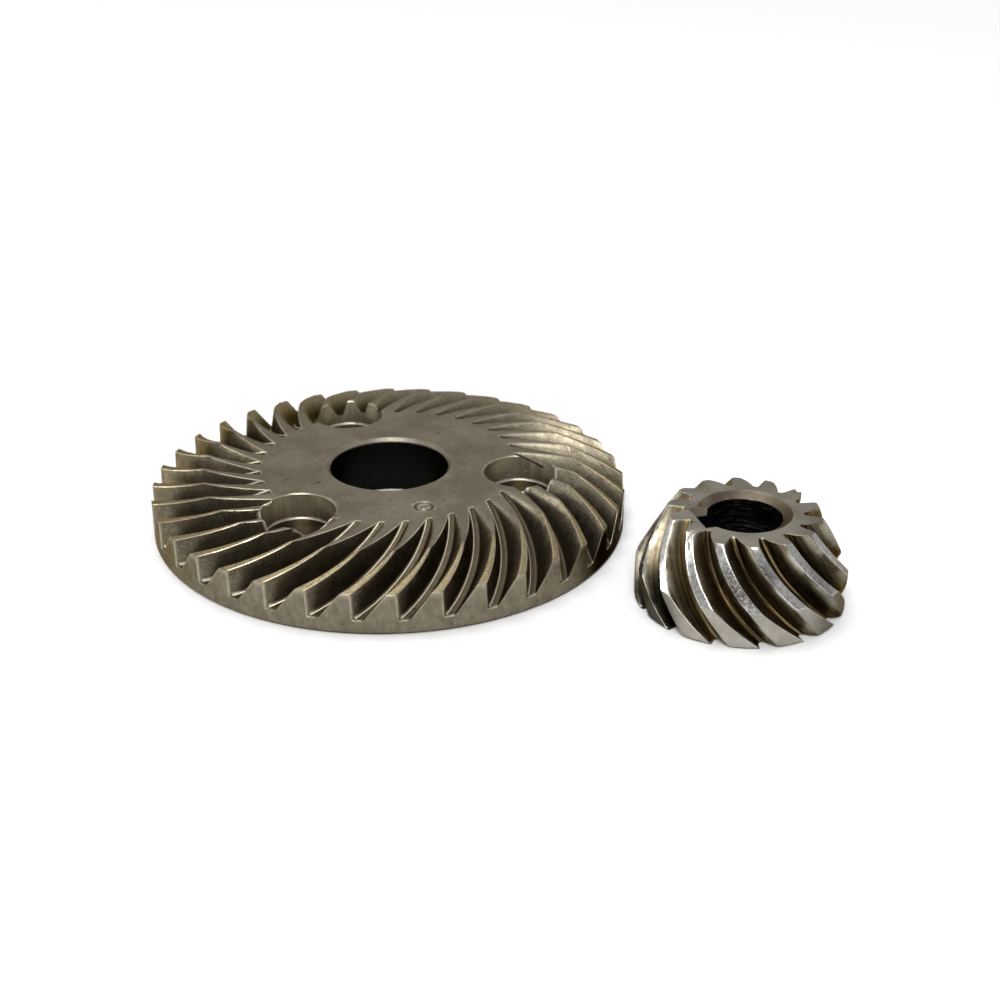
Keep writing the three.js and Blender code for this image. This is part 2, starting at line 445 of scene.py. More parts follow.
def stamp_cutter():
    """A ring-shaped groove pressed a little way into the flat face."""
    maker = bmesh.new()
    around, section = 48, 24  # points round the ring and round its section
    x, y = degrees_to_xy(STAMP["angle"], STAMP["radius"])
    loops = []
    for i in range(around):
        loop = []
        for j in range(section):
            # Clockwise, so that the faces point out.
            out, up = degrees_to_xy(-360 * j / section, STAMP["groove"])
            dx, dy = degrees_to_xy(360 * i / around, STAMP["size"] + out)
            level = RING_FACE + STAMP["lift"] + up
            loop.append(maker.verts.new(((x + dx) * MM, (y + dy) * MM, level * MM)))
        loops.append(loop)
    join_loops(maker, loops + loops[:1], section)
    return add_object("stamp_cutter", made_mesh("stamp_cutter", maker))


def ring_nick_cutters():
    cutters = []
    for angle, radius, length, width, turn in FACE_NICKS:
        x, y = degrees_to_xy(angle, radius * MM)
        place = Matrix.Translation((x, y, RING_FACE * MM)) @ Matrix.Rotation(math.radians(turn), 4, "Z")
        cutters.append(nick_cutter(place, length, width))
    for angle, height, length, width, turn in RIM_NICKS:
        place = Matrix.Rotation(math.radians(angle), 4, "Z")
        place @= Matrix.Translation((RING_RADIUS * MM, 0, height * MM))
        place @= Matrix.Rotation(math.radians(90), 4, "Y") @ Matrix.Rotation(math.radians(turn), 4, "Z")
        cutters.append(nick_cutter(place, length, width))
    return cutters


def ring_zones(points):
    """Which part of the ring gear each point is on, as shares from 0 to 1 by name.

    Of these, shine is how bright a worn edge gets, and worn is where edges wear. The small
    numbers are tolerances in millimetres.
    """
    radius = np.hypot(points[:, 0], points[:, 1])
    angle = np.arctan2(points[:, 1], points[:, 0])
    height = points[:, 2]
    half, _, _, _, land, pitch = ring_gap(radius)
    across = np.mod((angle - ring_line(radius)) * radius - land, pitch) + land - pitch
    tips = ring_tips(radius)
    toothed = (radius > RING_RUN_OUT - 0.5) & (radius < RING_RADIUS - 0.02)
    gap = toothed & (height < tips - 0.06) & (height > ring_floor(radius) - 0.1)
    pocket = np.zeros(len(points), bool)
    pit = np.zeros(len(points), bool)
    mouth = np.zeros(len(points), bool)
    for i in range(POCKET_COUNT):
        x, y = degrees_to_xy(POCKET_FIRST + 360 * i / POCKET_COUNT, POCKET_PITCH)
        away = np.hypot(points[:, 0] - x, points[:, 1] - y)
        pocket |= (away < POCKET_MOUTH + 0.03) & (height < RING_FACE - POCKET_LIP / 2)
        pit |= (away < POCKET_FLOOR - 0.3) & (np.abs(height - RING_FACE + POCKET_DEPTH) < 0.1)
        mouth |= away < POCKET_MOUTH + 1
    gap &= ~pocket
    pocket &= height > 1
    depth = np.maximum(tips - ring_floor(radius), 0.12)
    shine = np.where(toothed | (radius > RING_RADIUS - 0.1), RING_SHINE["tooth"], 0)
    shine[toothed & (np.abs(across + half) < 0.9) & (height > tips - 0.3)] = RING_SHINE["left"]
    shine[radius > RING_RADIUS - 0.12] = RING_SHINE["end"]
    shine[(radius > RING_RADIUS - 0.3) & (height < RING_ROOT_AT_RIM - 0.2)] = RING_SHINE["rim"]
    shine[mouth & (height > RING_FACE - 0.3)] = RING_SHINE["pocket"]
    shine[(radius < RING_BORE + 1) & (height > RING_FACE - 1)] = RING_SHINE["bore"]
    stamp = np.array(degrees_to_xy(STAMP["angle"], STAMP["radius"]))
    stamped = np.linalg.norm(points[:, :2] - stamp, axis=1) < 2 * STAMP["size"]
    shine[stamped] = RING_SHINE["stamp"]
    pressed = (height < RING_FACE - 0.02) & (height > RING_FACE - 0.25) & ~pocket
    pressed &= (radius > RING_BORE + 1) & (radius < RING_RUN_OUT - 0.6)
    return {
        "worn": (radius > RING_RUN_OUT + 0.5) & (height > RING_ROOT_AT_RIM) & ~mouth,
        "shine": shine,
        # Where a painted highlight runs along the left corner of each gap floor.
        "painted_glint": gap & (np.abs(across + half) < 0.17) & (height < ring_floor(radius) + 0.17)
                 & (radius < RING_RADIUS - 0.3),
        "left": gap & (across < -half + 0.07),
        "right": gap & (across > half - 0.1),
        "floor": gap & (np.abs(across) <= half + 0.02) & (height < ring_floor(radius) + 0.15),
        "deep": np.where(gap, np.clip((tips - height) / depth, 0, 1), 0),
        "outer": np.clip((radius - RING_KNEE) / (RING_RADIUS - RING_KNEE), 0, 1),
        "cone": (radius > RING_KNEE) & (height > tips - 0.1) & toothed,
        "rim": radius > RING_RADIUS - 0.1,
        "bore": (radius < RING_BORE + 0.03) | ((radius < RING_BORE + 0.6) & (height < 1)),
        "pocket": pocket,
        "pit": pit,
        # Painted shade in the nicks and the stamped groove.
        "nick": np.where(pressed, np.where(stamped, STAMP_DARK, NICK_DARK), 0),
        "cut_tooth": pocket & (radius > POCKET_PITCH + 1.5) & (height > ring_floor(radius) - 0.2),
    }


# ---- Pinion ----
def pinion_line(down):
    return np.radians(PINION_FIRST_GAP + PINION_SPIRAL[0] * down + PINION_SPIRAL[1] * down ** 2)


def pinion_tips(down):
    slope = (PINION_RADIUS - PINION_TIP_SMALL) / (PINION_HEIGHT - PINION_BAND)
    return smooth_min(PINION_TIP_SMALL + slope * down, np.full_like(down, PINION_RADIUS), TIP_ROUND)


def pinion_gap(down):
    share = down / PINION_HEIGHT
    half = lerp(PINION_FLOOR_WIDTH, share) / 2
    root = lerp(PINION_ROOT, share)
    tips = pinion_tips(down)
    left = -half + PINION_WALL_LEAN[0] * (tips - root)
    right = half + PINION_WALL_LEAN[1] * (tips - root)
    pitch = 2 * math.pi * tips / PINION_TEETH
    return half, root, tips, left, right, (left + right + pitch) / 2, pitch


def pinion_stations():
    """Distances down from the small end."""
    knee = PINION_HEIGHT - PINION_BAND
    top = [PINION_END_CHAMFER, 0.25, 0.5]
    cone = np.linspace(0.85, knee - 0.5, 17)
    turn = knee + np.array([-0.22, -0.08, 0.08, 0.22])
    band = np.linspace(knee + 0.55, PINION_HEIGHT - PINION_RIM_CHAMFER - 0.3, 9)
    return np.concatenate([top, cone, turn, band, [PINION_HEIGHT - PINION_RIM_CHAMFER]])


def pinion_row(section, line, height):
    """A whole turn of points at one height from one pitch of (across, radius)."""
    turns = np.repeat(np.arange(PINION_TEETH), len(section)) * 2 * math.pi / PINION_TEETH
    radius = np.tile(section[:, 1], PINION_TEETH)
    angle = turns + line + np.tile(section[:, 0], PINION_TEETH) / radius
    return np.stack([radius * np.cos(angle), radius * np.sin(angle), np.full_like(radius, height)], axis=1)


def pinion_round_row(radius, height, line, angles):
    section = np.stack([angles * radius, np.full_like(angles, radius)], axis=1)
    return pinion_row(section, line, height)


def make_pinion_mesh():
    down = pinion_stations()
    half, root, tips, left, right, land, pitch = pinion_gap(down)
    corners = gap_corners(tips, root, half, left, right, land, pitch)
    toe = np.exp(-down / PINION_TOE_REACH)
    rounds = [radius + extra * toe for radius, extra in zip(PINION_ROUNDS, PINION_TOE_ROUNDS)]
    sections = rounded(corners, rounds, (3, 5, 2, 6, 3))
    climb = np.clip((sections[..., 0] - half[:, None]) / (right - half)[:, None], 0, 1)
    sections[..., 0] -= PINION_BULGE * 4 * climb * (1 - climb)
    lines = pinion_line(down)
    outline = inset(sections[0], PINION_END_CHAMFER)
    angles = outline[:, 0] / outline[:, 1]
    lead_in = PINION_BORE + PINION_LEAD_IN[0]
    collar = PINION_ROOT[0] - PINION_COLLAR
    rows = []
    for radius in (lead_in, PINION_FACE_ROW, collar):
        rows.append(pinion_round_row(radius, PINION_HEIGHT, lines[0], angles))
    for share in (0.25, 0.5, 0.75, 1):
        radius = lerp((np.full_like(angles, collar), outline[:, 1]), share)
        section = np.stack([angles * radius, radius], axis=1)
        rows.append(pinion_row(section, lines[0], PINION_HEIGHT))
    rows += [pinion_row(s, line, PINION_HEIGHT - d) for s, line, d in zip(sections, lines, down)]
    base = inset(sections[-1], PINION_RIM_CHAMFER)
    base_angles = base[:, 0] / base[:, 1]
    base_line = pinion_line(PINION_HEIGHT)
    rows.append(pinion_row(base, base_line, 0))
    for radius in (*PINION_BACK_ROWS, PINION_BORE + PINION_BACK_CHAMFER):
        rows.append(pinion_round_row(radius, 0, base_line, base_angles))
    # Up the bore, turning step by step to meet the small end's columns.
    for share in np.linspace(0, 1, PINION_BORE_ROWS):
        height = lerp((PINION_BACK_CHAMFER, PINION_HEIGHT - PINION_LEAD_IN[1]), share)
        rows.append(pinion_round_row(PINION_BORE, height, lerp((base_line, lines[0]), share),
                                     lerp((base_angles, angles), share)))
    for share in (0.5, 0.95):
        radius = lerp((PINION_BORE, lead_in), share)
        height = PINION_HEIGHT - PINION_LEAD_IN[1] * (1 - share)
        rows.append(pinion_round_row(radius, height, lines[0], angles))
    return closed_shell("pinion", rows)


def keyway_cutter():
    """The key slot, with its mouth edges just broken."""
    half, reach, lip = KEYWAY["width"] / 2, KEYWAY["reach"], KEYWAY["lip"]
    maker = bmesh.new()
    loops = []
    for height, grow in ((-1, 0), (PINION_HEIGHT - lip, 0), (PINION_HEIGHT + lip, 2 * lip)):
        far, wide = reach + grow, half + grow
        corners = ((0, -wide), (far, -wide), (far, wide), (0, wide))
        loops.append([maker.verts.new((x * MM, y * MM, height * MM)) for x, y in corners])
    join_loops(maker, loops, 4)
    maker.faces.new(loops[0][::-1])
    maker.faces.new(loops[-1])
    place = Matrix.Rotation(math.radians(KEYWAY["angle"]), 4, "Z")
    return add_object("keyway_cutter", made_mesh("keyway_cutter", maker), place)


def pinion_zones(points):
    """The same shares for each point of the pinion."""
    radius = np.hypot(points[:, 0], points[:, 1])
    angle = np.arctan2(points[:, 1], points[:, 0])
    down = np.clip(PINION_HEIGHT - points[:, 2], 0, PINION_HEIGHT)
    half, root, tips, left, right, land, pitch = pinion_gap(down)
    turned = angle - pinion_line(down)
    scale = radius / tips
    across = np.mod(turned * radius - land * scale, pitch * scale) + (land - pitch) * scale
    inside = (down > 0.02) & (down < PINION_HEIGHT - 0.05)
    gap = inside & (radius < tips - 0.05) & (radius > root - 0.25)
    hub = radius < root - 0.3
    key_angle = math.radians(KEYWAY["angle"])
    out = radius * np.cos(angle - key_angle)
    side = radius * np.sin(angle - key_angle)
    end_shine = np.where(down < 0.02, PINION_SHINE["small_end"], PINION_SHINE["base"])
    shine = np.where(inside, PINION_SHINE["tooth"], end_shine) * (radius > root - 0.25)
    shine[inside & (radius > tips - 0.3) & (np.abs(across - left) < 0.35)] = PINION_SHINE["left"]
    return {
        "unwound": np.stack([PINION_TIP_SMALL * np.cos(turned), PINION_TIP_SMALL * np.sin(turned),
                             radius - root + 0.06 * down], axis=1),
        "worn": (radius > root - 0.25) & (points[:, 2] > 0.05),
        "shine": shine,
        "lead_in": (down < PINION_LEAD_IN[1] + 0.05) & (radius < PINION_BORE + PINION_LEAD_IN[0] - 0.02),
        "left": gap & (across < -half + 0.1),
        "right": gap & (across > half - 0.1),
        "deep": np.where(gap, np.clip((tips - radius) / (tips - root), 0, 1), 0),
        "land": inside & (radius > tips - 0.06) & (down < PINION_HEIGHT - PINION_BAND),
        "band": inside & (radius > tips - 0.06) & (down >= PINION_HEIGHT - PINION_BAND),
        "bore": hub & (radius < PINION_BORE + 0.02),
        "slot": (out > 0) & (out < KEYWAY["reach"] + 0.01) & (np.abs(side) < KEYWAY["width"] / 2 + 0.01)
                & (radius > PINION_BORE - 0.01) & (down > 0.02),
    }


# ---- Wear, read from the finished mesh ----
EDGE_BEND = (math.radians(5), math.radians(17))  # bends that begin to count, and that count in full
WEAR_START = 0.35  # wear where both noises are at their middle
WEAR_NOISE = ((0.6, 1.0), (1.4, 0.5))  # bumps per millimetre, and strength


def store(mesh, name, values):
    """Keeps a number, or a vector, for each point of the mesh."""
    values = np.asarray(values, np.float32)
    kind, field = ("FLOAT_VECTOR", "vector") if values.ndim == 2 else ("FLOAT", "value")
    attribute = mesh.attributes.new(name, kind, "POINT")
    attribute.data.foreach_set(field, values.ravel())


def read(collection, key, kind, width=1):
    values = np.zeros(len(collection) * width, kind)
    collection.foreach_get(key, values)
    return values.reshape(-1, width) if width > 1 else values


def mark_edges(mesh):
    """How sharply each point stands out (edge) or in (crease), from 0 to 1."""
    normals = read(mesh.polygons, "normal", float, 3)
    centres = read(mesh.polygons, "center", float, 3)
    face_of = np.repeat(np.arange(len(normals)), read(mesh.polygons, "loop_total", int))
    order = np.argsort(read(mesh.loops, "edge_index", int), kind="stable")
    first, second = face_of[order[0::2]], face_of[order[1::2]]
    bend = np.arccos(np.clip(np.sum(normals[first] * normals[second], axis=1), -1, 1))
    outward = np.sum((centres[second] - centres[first]) * normals[first], axis=1) < 0
    ends = read(mesh.edges, "vertices", int, 2)
    marks = {}
    for name, chosen in (("edge", outward), ("crease", ~outward)):
        strength = (np.where(chosen, bend, 0) - EDGE_BEND[0]) / (EDGE_BEND[1] - EDGE_BEND[0])
        strength = np.clip(strength, 0, 1)
        marks[name] = np.zeros(len(mesh.vertices))
        np.maximum.at(marks[name], ends[:, 0], strength)
        np.maximum.at(marks[name], ends[:, 1], strength)
    return marks


def wear_down(mesh, edge, depth, chips):
    """Wears the standing edges a little unevenly, and presses the chips in."""
    points = read(mesh.vertices, "co", float, 3) / MM
    normals = read(mesh.vertex_normals, "vector", float, 3)
    pressed = np.zeros(len(points))
    for i in np.nonzero(edge > 0.3)[0]:
        point = Vector(points[i])
        amount = WEAR_START + sum(share * noise.noise(point * scale) for scale, share in WEAR_NOISE)
        pressed[i] = depth * edge[i] * max(0, amount)
    for angle, radius, height, size, dent in chips:
        centre = np.array([*degrees_to_xy(angle, radius), height])
        away = np.linalg.norm(points - centre, axis=1) / size
        pressed = np.maximum(pressed, dent * np.clip(1 - away ** 2, 0, 1) ** 0.5)
    points -= normals * pressed[:, None]
    mesh.vertices.foreach_set("co", (points * MM).ravel())
    mesh.update()


# ---- Node helpers ----
def spot(axis, angle, radius, height):
    """A place on a gear, in millimetres of the scene. It turns with the gear."""
    x, y = degrees_to_xy(angle, radius)
    return axis.x / MM + x, axis.y / MM + y, height


class Nodes:
    """A material's node tree. Inputs are numbers, colours or other nodes' sockets."""

    def __init__(self, name):
        self.material = bpy.data.materials.new(name)
        self.material.use_nodes = True
        self.tree = self.material.node_tree
        self.shader = self.tree.nodes["Principled BSDF"]
        metres = self.add("ShaderNodeTexCoord").outputs["Object"]
        self.place = self.stretch(metres, (1 / MM, 1 / MM, 1 / MM))

    def add(self, kind, settings=None, inputs=None):
        node = self.tree.nodes.new(kind)
        for key, value in (settings or {}).items():
            setattr(node, key, value)
        for key, value in (inputs or {}).items():
            self.feed(node.inputs[key], value)
        return node

    def feed(self, socket, value):
        if isinstance(value, bpy.types.NodeSocket):
            self.tree.links.new(value, socket)
        elif socket.type == "RGBA" and len(value) == 3:
            socket.default_value = (*value, 1)
        else:
            socket.default_value = value

    def stretch(self, vector, scale, offset=(0, 0, 0)):
        settings = {"operation": "MULTIPLY_ADD"}
        return self.add("ShaderNodeVectorMath", settings, {0: vector, 1: scale, 2: offset}).outputs[0]

    def maths(self, operation, a, b=0.0, c=0.0):
        return self.add("ShaderNodeMath", {"operation": operation}, {0: a, 1: b, 2: c}).outputs[0]

    def mark(self, name):
        return self.add("ShaderNodeAttribute", {"attribute_name": name}).outputs["Fac"]

    def span(self, value, low, high, bottom=0.0, top=1.0):
        """value moved from the range low to high into the range bottom to top."""
        settings = {"interpolation_type": "SMOOTHSTEP"}
        inputs = {"Value": value, "From Min": low, "From Max": high, "To Min": bottom, "To Max": top}
        return self.add("ShaderNodeMapRange", settings, inputs).outputs["Result"]

    def near(self, axis, patch):
        """A share that goes from the patch's last number at its place to 1 further off."""
        place, start, end, tone = patch
        inputs = {0: self.place, 1: spot(axis, *place)}
        away = self.add("ShaderNodeVectorMath", {"operation": "DISTANCE"}, inputs).outputs["Value"]
        return self.span(away, start, end, tone, 1.0)

    def height(self):
        """Height above the floor, in millimetres."""
        return self.add("ShaderNodeSeparateXYZ", {}, {0: self.place}).outputs["Z"]

    def noise(self, scale, detail=2.0, rough=0.5, seed=0.0, vector=None):
        """Noise with scale bumps per millimetre, given once or for each axis."""
        scale = scale if isinstance(scale, tuple) else (scale,) * 3
        vector = self.stretch(vector or self.place, scale, (seed, seed * 1.7, seed * 0.6))
        inputs = {"Vector": vector, "Scale": 1.0, "Detail": detail, "Roughness": rough}
        return self.add("ShaderNodeTexNoise", {"normalize": True}, inputs).outputs["Fac"]

    def pits(self, scale, size, seed=0.0):
        """Small round spots, 1 at their middles, scale spots per millimetre."""
        vector = self.stretch(self.place, (scale,) * 3, (seed,) * 3)
        away = self.add("ShaderNodeTexVoronoi", {}, {"Vector": vector, "Scale": 1.0}).outputs["Distance"]
        return self.span(away, size * 0.4, size, 1.0, 0.0)

    def blend(self, share, a, b):
        node = self.add("ShaderNodeMix", {"data_type": "RGBA"})
        self.feed(node.inputs[0], share)
        self.feed(node.inputs[6], a)
        self.feed(node.inputs[7], b)
        return node.outputs[2]

    def shade(self, colour, share):
        """colour times share."""
        inputs = {0: colour, "Scale": share}
        return self.add("ShaderNodeVectorMath", {"operation": "SCALE"}, inputs).outputs[0]

    def bump(self, height, distance, below=None):
        inputs = {"Height": height, "Distance": distance * MM, "Strength": 1.0}
        if below is not None:
            inputs["Normal"] = below
        return self.add("ShaderNodeBump", {}, inputs).outputs["Normal"]

    def finish(self, colour, rough, normal, metal=1.0):
        self.feed(self.shader.inputs["Base Color"], colour)
        self.feed(self.shader.inputs["Roughness"], rough)
        self.feed(self.shader.inputs["Normal"], normal)
        self.feed(self.shader.inputs["Metallic"], metal)
        self.feed(self.shader.inputs["Specular Tint"], GRAZING_TINT)
        return self.material


# ---- Steels: linear colours ----
FACE_DARK, FACE_LIGHT = (0.190, 0.169, 0.137), (0.245, 0.220, 0.182)
TAN_DARK, TAN_LIGHT = (0.16, 0.122, 0.068), (0.36, 0.295, 0.18)
# Painted shade for the left gap walls.
FLANK_DARK, FLANK_SPECK = (0.052, 0.044, 0.030), (0.135, 0.115, 0.075)
# The gap floors' tone, and a painted highlight along each gap floor's left corner.
GAP_FLOOR, PAINTED_GLINT = (0.080, 0.065, 0.043), (0.86, 0.78, 0.61)
# Painted light for the right gap walls.
WALL_DARK, WALL_LIGHT = (0.14, 0.12, 0.085), (0.30, 0.265, 0.19)
RIM_DARK, RIM_LIGHT = (0.180, 0.155, 0.110), (0.222, 0.198, 0.146)
POCKET_ROUGHNESS = 0.35
# Painted light on the pocket walls and the tooth ends cut by them, painted shade on the pocket floors.
POCKET_WALL_LIT, POCKET_FLOOR_SHADE = (0.58, 0.53, 0.43), (0.060, 0.053, 0.043)
CUT_TOOTH_LIT = (0.85, 0.80, 0.66)
RING_WORN = (0.68, 0.60, 0.45)
# Dark tone for grime in the small dents, and for painted shade in creases, nicks and the stamped groove.
GRIME_AND_SHADE = (0.030, 0.025, 0.018)
# Painted shade inside the ring's bore and deep in the pinion's key slot.
PAINTED_BORE_SHADE = (0.009, 0.009, 0.008)
GRAZING_TINT = (0.37, 0.32, 0.24)
END_DARK, END_LIGHT = (0.245, 0.228, 0.197), (0.325, 0.305, 0.268)
SILVER_DARK, SILVER_LIGHT = (0.60, 0.585, 0.56), (0.90, 0.89, 0.87)
# Dark tone for a painted dark reflection on one front land of the pinion.
DULL_LAND_SHADE = (0.10, 0.085, 0.08)
BEIGE_DARK, BEIGE_LIGHT = (0.32, 0.30, 0.255), (0.44, 0.415, 0.365)
HEAT_DARK, HEAT_LIGHT, HEAT_CREAM = (0.105, 0.084, 0.052), (0.26, 0.218, 0.146), (0.50, 0.47, 0.38)
ROOT_DARK, ROOT_GOLD = (0.05, 0.038, 0.018), (0.48, 0.35, 0.165)
CHAMFER_GOLD, CHAMFER_BROWN = (0.215, 0.182, 0.138), (0.125, 0.102, 0.074)
# Painted light on the key slot's far wall near its mouth.
KEY_WALL_LIT = (0.40, 0.35, 0.265)
KEY_WALL_DEPTH = (1.75, 1.45)  # millimetres down from the small end, where that tone ends
KEY_WALL_DULL = 0.6  # how much less metallic it is
# Painted shade in the pinion's bore.
PAINTED_PINION_BORE_SHADE = (0.020, 0.020, 0.021)
PINION_WORN = (0.80, 0.76, 0.69)
# Patches: place as angle, radius and height, then how far off they begin and end to fade, and what
# the colour is multiplied by at that place. For the dull front land it is how much silver shows.
# Painted sheen on the ring's back-left gap walls.
PAINTED_FLANK_SHEEN = ((158, 30, 5), 8.0, 30.0, 1.9)
# Painted dark reflection on the ring's rim to the right.
PAINTED_RIM_SHADE = ((-12, RING_RADIUS, 1), 10.0, 19.0, 0.09)
# Painted dark reflection on the pinion's front land.
PAINTED_DULL_LAND = ((-94, 11.8, 8.5), 2.0, 4.5, 0.0)
# Painted shade on the pinion's right side, and a painted dark reflection low on its far left.
PAINTED_PINION_SHADES = (
    ((-18, 14, 4), 6.0, 13.0, 0.50),
    ((203, 14, 0), 4.0, 8.5, 0.20),
)


def ring_steel():
    n = Nodes("ring_steel")
    rim, pocket = n.mark("rim"), n.mark("pocket")
    cloud = n.noise(0.13, 4, 0.55)
    grain = n.noise(3.5, 3, 0.65, 3)
    speck = n.noise(5.0, 3, 0.7, 7)
    scratch = n.noise((1.6, 1.6, 0.7), 4, 0.65, 5)
    face = n.blend(n.span(cloud, 0.36, 0.66), FACE_DARK, FACE_LIGHT)
    face = n.shade(face, n.span(grain, 0.32, 0.68, 0.86, 1.14))
    colour = n.blend(n.mark("cone"), face, n.blend(n.span(speck, 0.36, 0.66), TAN_DARK, TAN_LIGHT))
    # Painted shade on the left gap walls, lighter towards the rim.
    flank = n.blend(n.span(speck, 0.50, 0.74), FLANK_DARK, FLANK_SPECK)
    flank = n.shade(flank, n.span(n.noise(0.5, 3, 0.6, 11), 0.35, 0.65, 0.85, 1.2))
    flank = n.shade(flank, n.span(n.mark("outer"), 0.2, 1.0, 1.0, 2.2))
    # Painted sheen on the back-left gap walls.
    flank = n.shade(flank, n.near(RING_AXIS, PAINTED_FLANK_SHEEN))
    colour = n.blend(n.mark("left"), colour, flank)
    # Painted light on the right gap walls, falling to painted shade towards the gap floor.
    wall = n.blend(n.span(speck, 0.36, 0.66), WALL_DARK, WALL_LIGHT)
    wall = n.shade(wall, n.span(n.mark("deep"), 0.05, 0.85, 1.35, 0.34))
    colour = n.blend(n.mark("right"), colour, wall)
    colour = n.blend(n.mark("floor"), colour, n.shade(GAP_FLOOR, n.span(speck, 0.3, 0.7, 0.8, 1.3)))
    side = n.blend(n.span(n.noise(0.55, 4, 0.6, 15), 0.36, 0.64), RIM_DARK, RIM_LIGHT)
    side = n.shade(side, n.span(scratch, 0.3, 0.7, 0.86, 1.12))
    side = n.shade(side, n.span(speck, 0.3, 0.7, 0.88, 1.1))
    # Painted dark reflection on the rim to the right.
    side = n.shade(side, n.near(RING_AXIS, PAINTED_RIM_SHADE))
    colour = n.blend(rim, colour, side)
    # Painted light on the pocket walls and cut tooth ends, painted shade on the pocket floors,
    recess = n.blend(n.mark("cut_tooth"), POCKET_WALL_LIT, CUT_TOOTH_LIT)
    recess = n.blend(n.mark("pit"), recess, POCKET_FLOOR_SHADE)
    # and painted reflection bands running down the walls.
    painted_bands = n.noise((0.7, 0.7, 0.1), 3, 0.5, 18)
    recess = n.shade(recess, n.span(painted_bands, 0.3, 0.7, 0.80, 1.15))
    colour = n.blend(pocket, colour, recess)
    # Painted shade: the bore near black.
    colour = n.blend(n.span(n.mark("bore"), 0.8, 0.97), colour, PAINTED_BORE_SHADE)
    # Painted shade in the creases.
    colour = n.blend(n.maths("MULTIPLY", n.mark("crease"), 0.3), colour, GRIME_AND_SHADE)
    dents = n.maths("MULTIPLY", n.pits(0.7, 0.12, 2), n.span(n.noise(0.3, 2, 0.5, 9), 0.46, 0.56))
    colour = n.blend(n.maths("MULTIPLY", dents, 0.7), colour, GRIME_AND_SHADE)
    # Painted shade in the nicks and the stamped groove.
    colour = n.blend(n.mark("nick"), colour, GRIME_AND_SHADE)
    worn = n.span(n.mark("edge"), 0.2, 1.0)
    worn = n.maths("MULTIPLY", worn, n.span(n.noise(1.1, 3, 0.6, 4), 0.3, 0.6, 0.55, 1.0))
    colour = n.blend(worn, colour, RING_WORN)
    # Painted highlight along the left corner of each gap floor.
    colour = n.blend(n.span(n.mark("painted_glint"), 0.62, 1.0, 0.0, 0.8), colour, PAINTED_GLINT)
    rough = n.span(n.noise(0.8, 3, 0.6, 6), 0.3, 0.7, 0.36, 0.48)
    rough = n.maths("MULTIPLY_ADD", pocket, n.maths("SUBTRACT", POCKET_ROUGHNESS, rough), rough)
    rough = n.maths("SUBTRACT", rough, n.maths("MULTIPLY", worn, 0.10))
    outside = n.maths("SUBTRACT", 1.0, pocket)
    normal = n.bump(n.maths("MULTIPLY", outside, n.noise(4.5, 4, 0.65, 12)), 0.014)
    normal = n.bump(n.maths("MULTIPLY", rim, scratch), 0.012, normal)
    normal = n.bump(n.maths("SUBTRACT", 1.0, dents), 0.05, normal)
    return n.finish(colour, rough, normal)


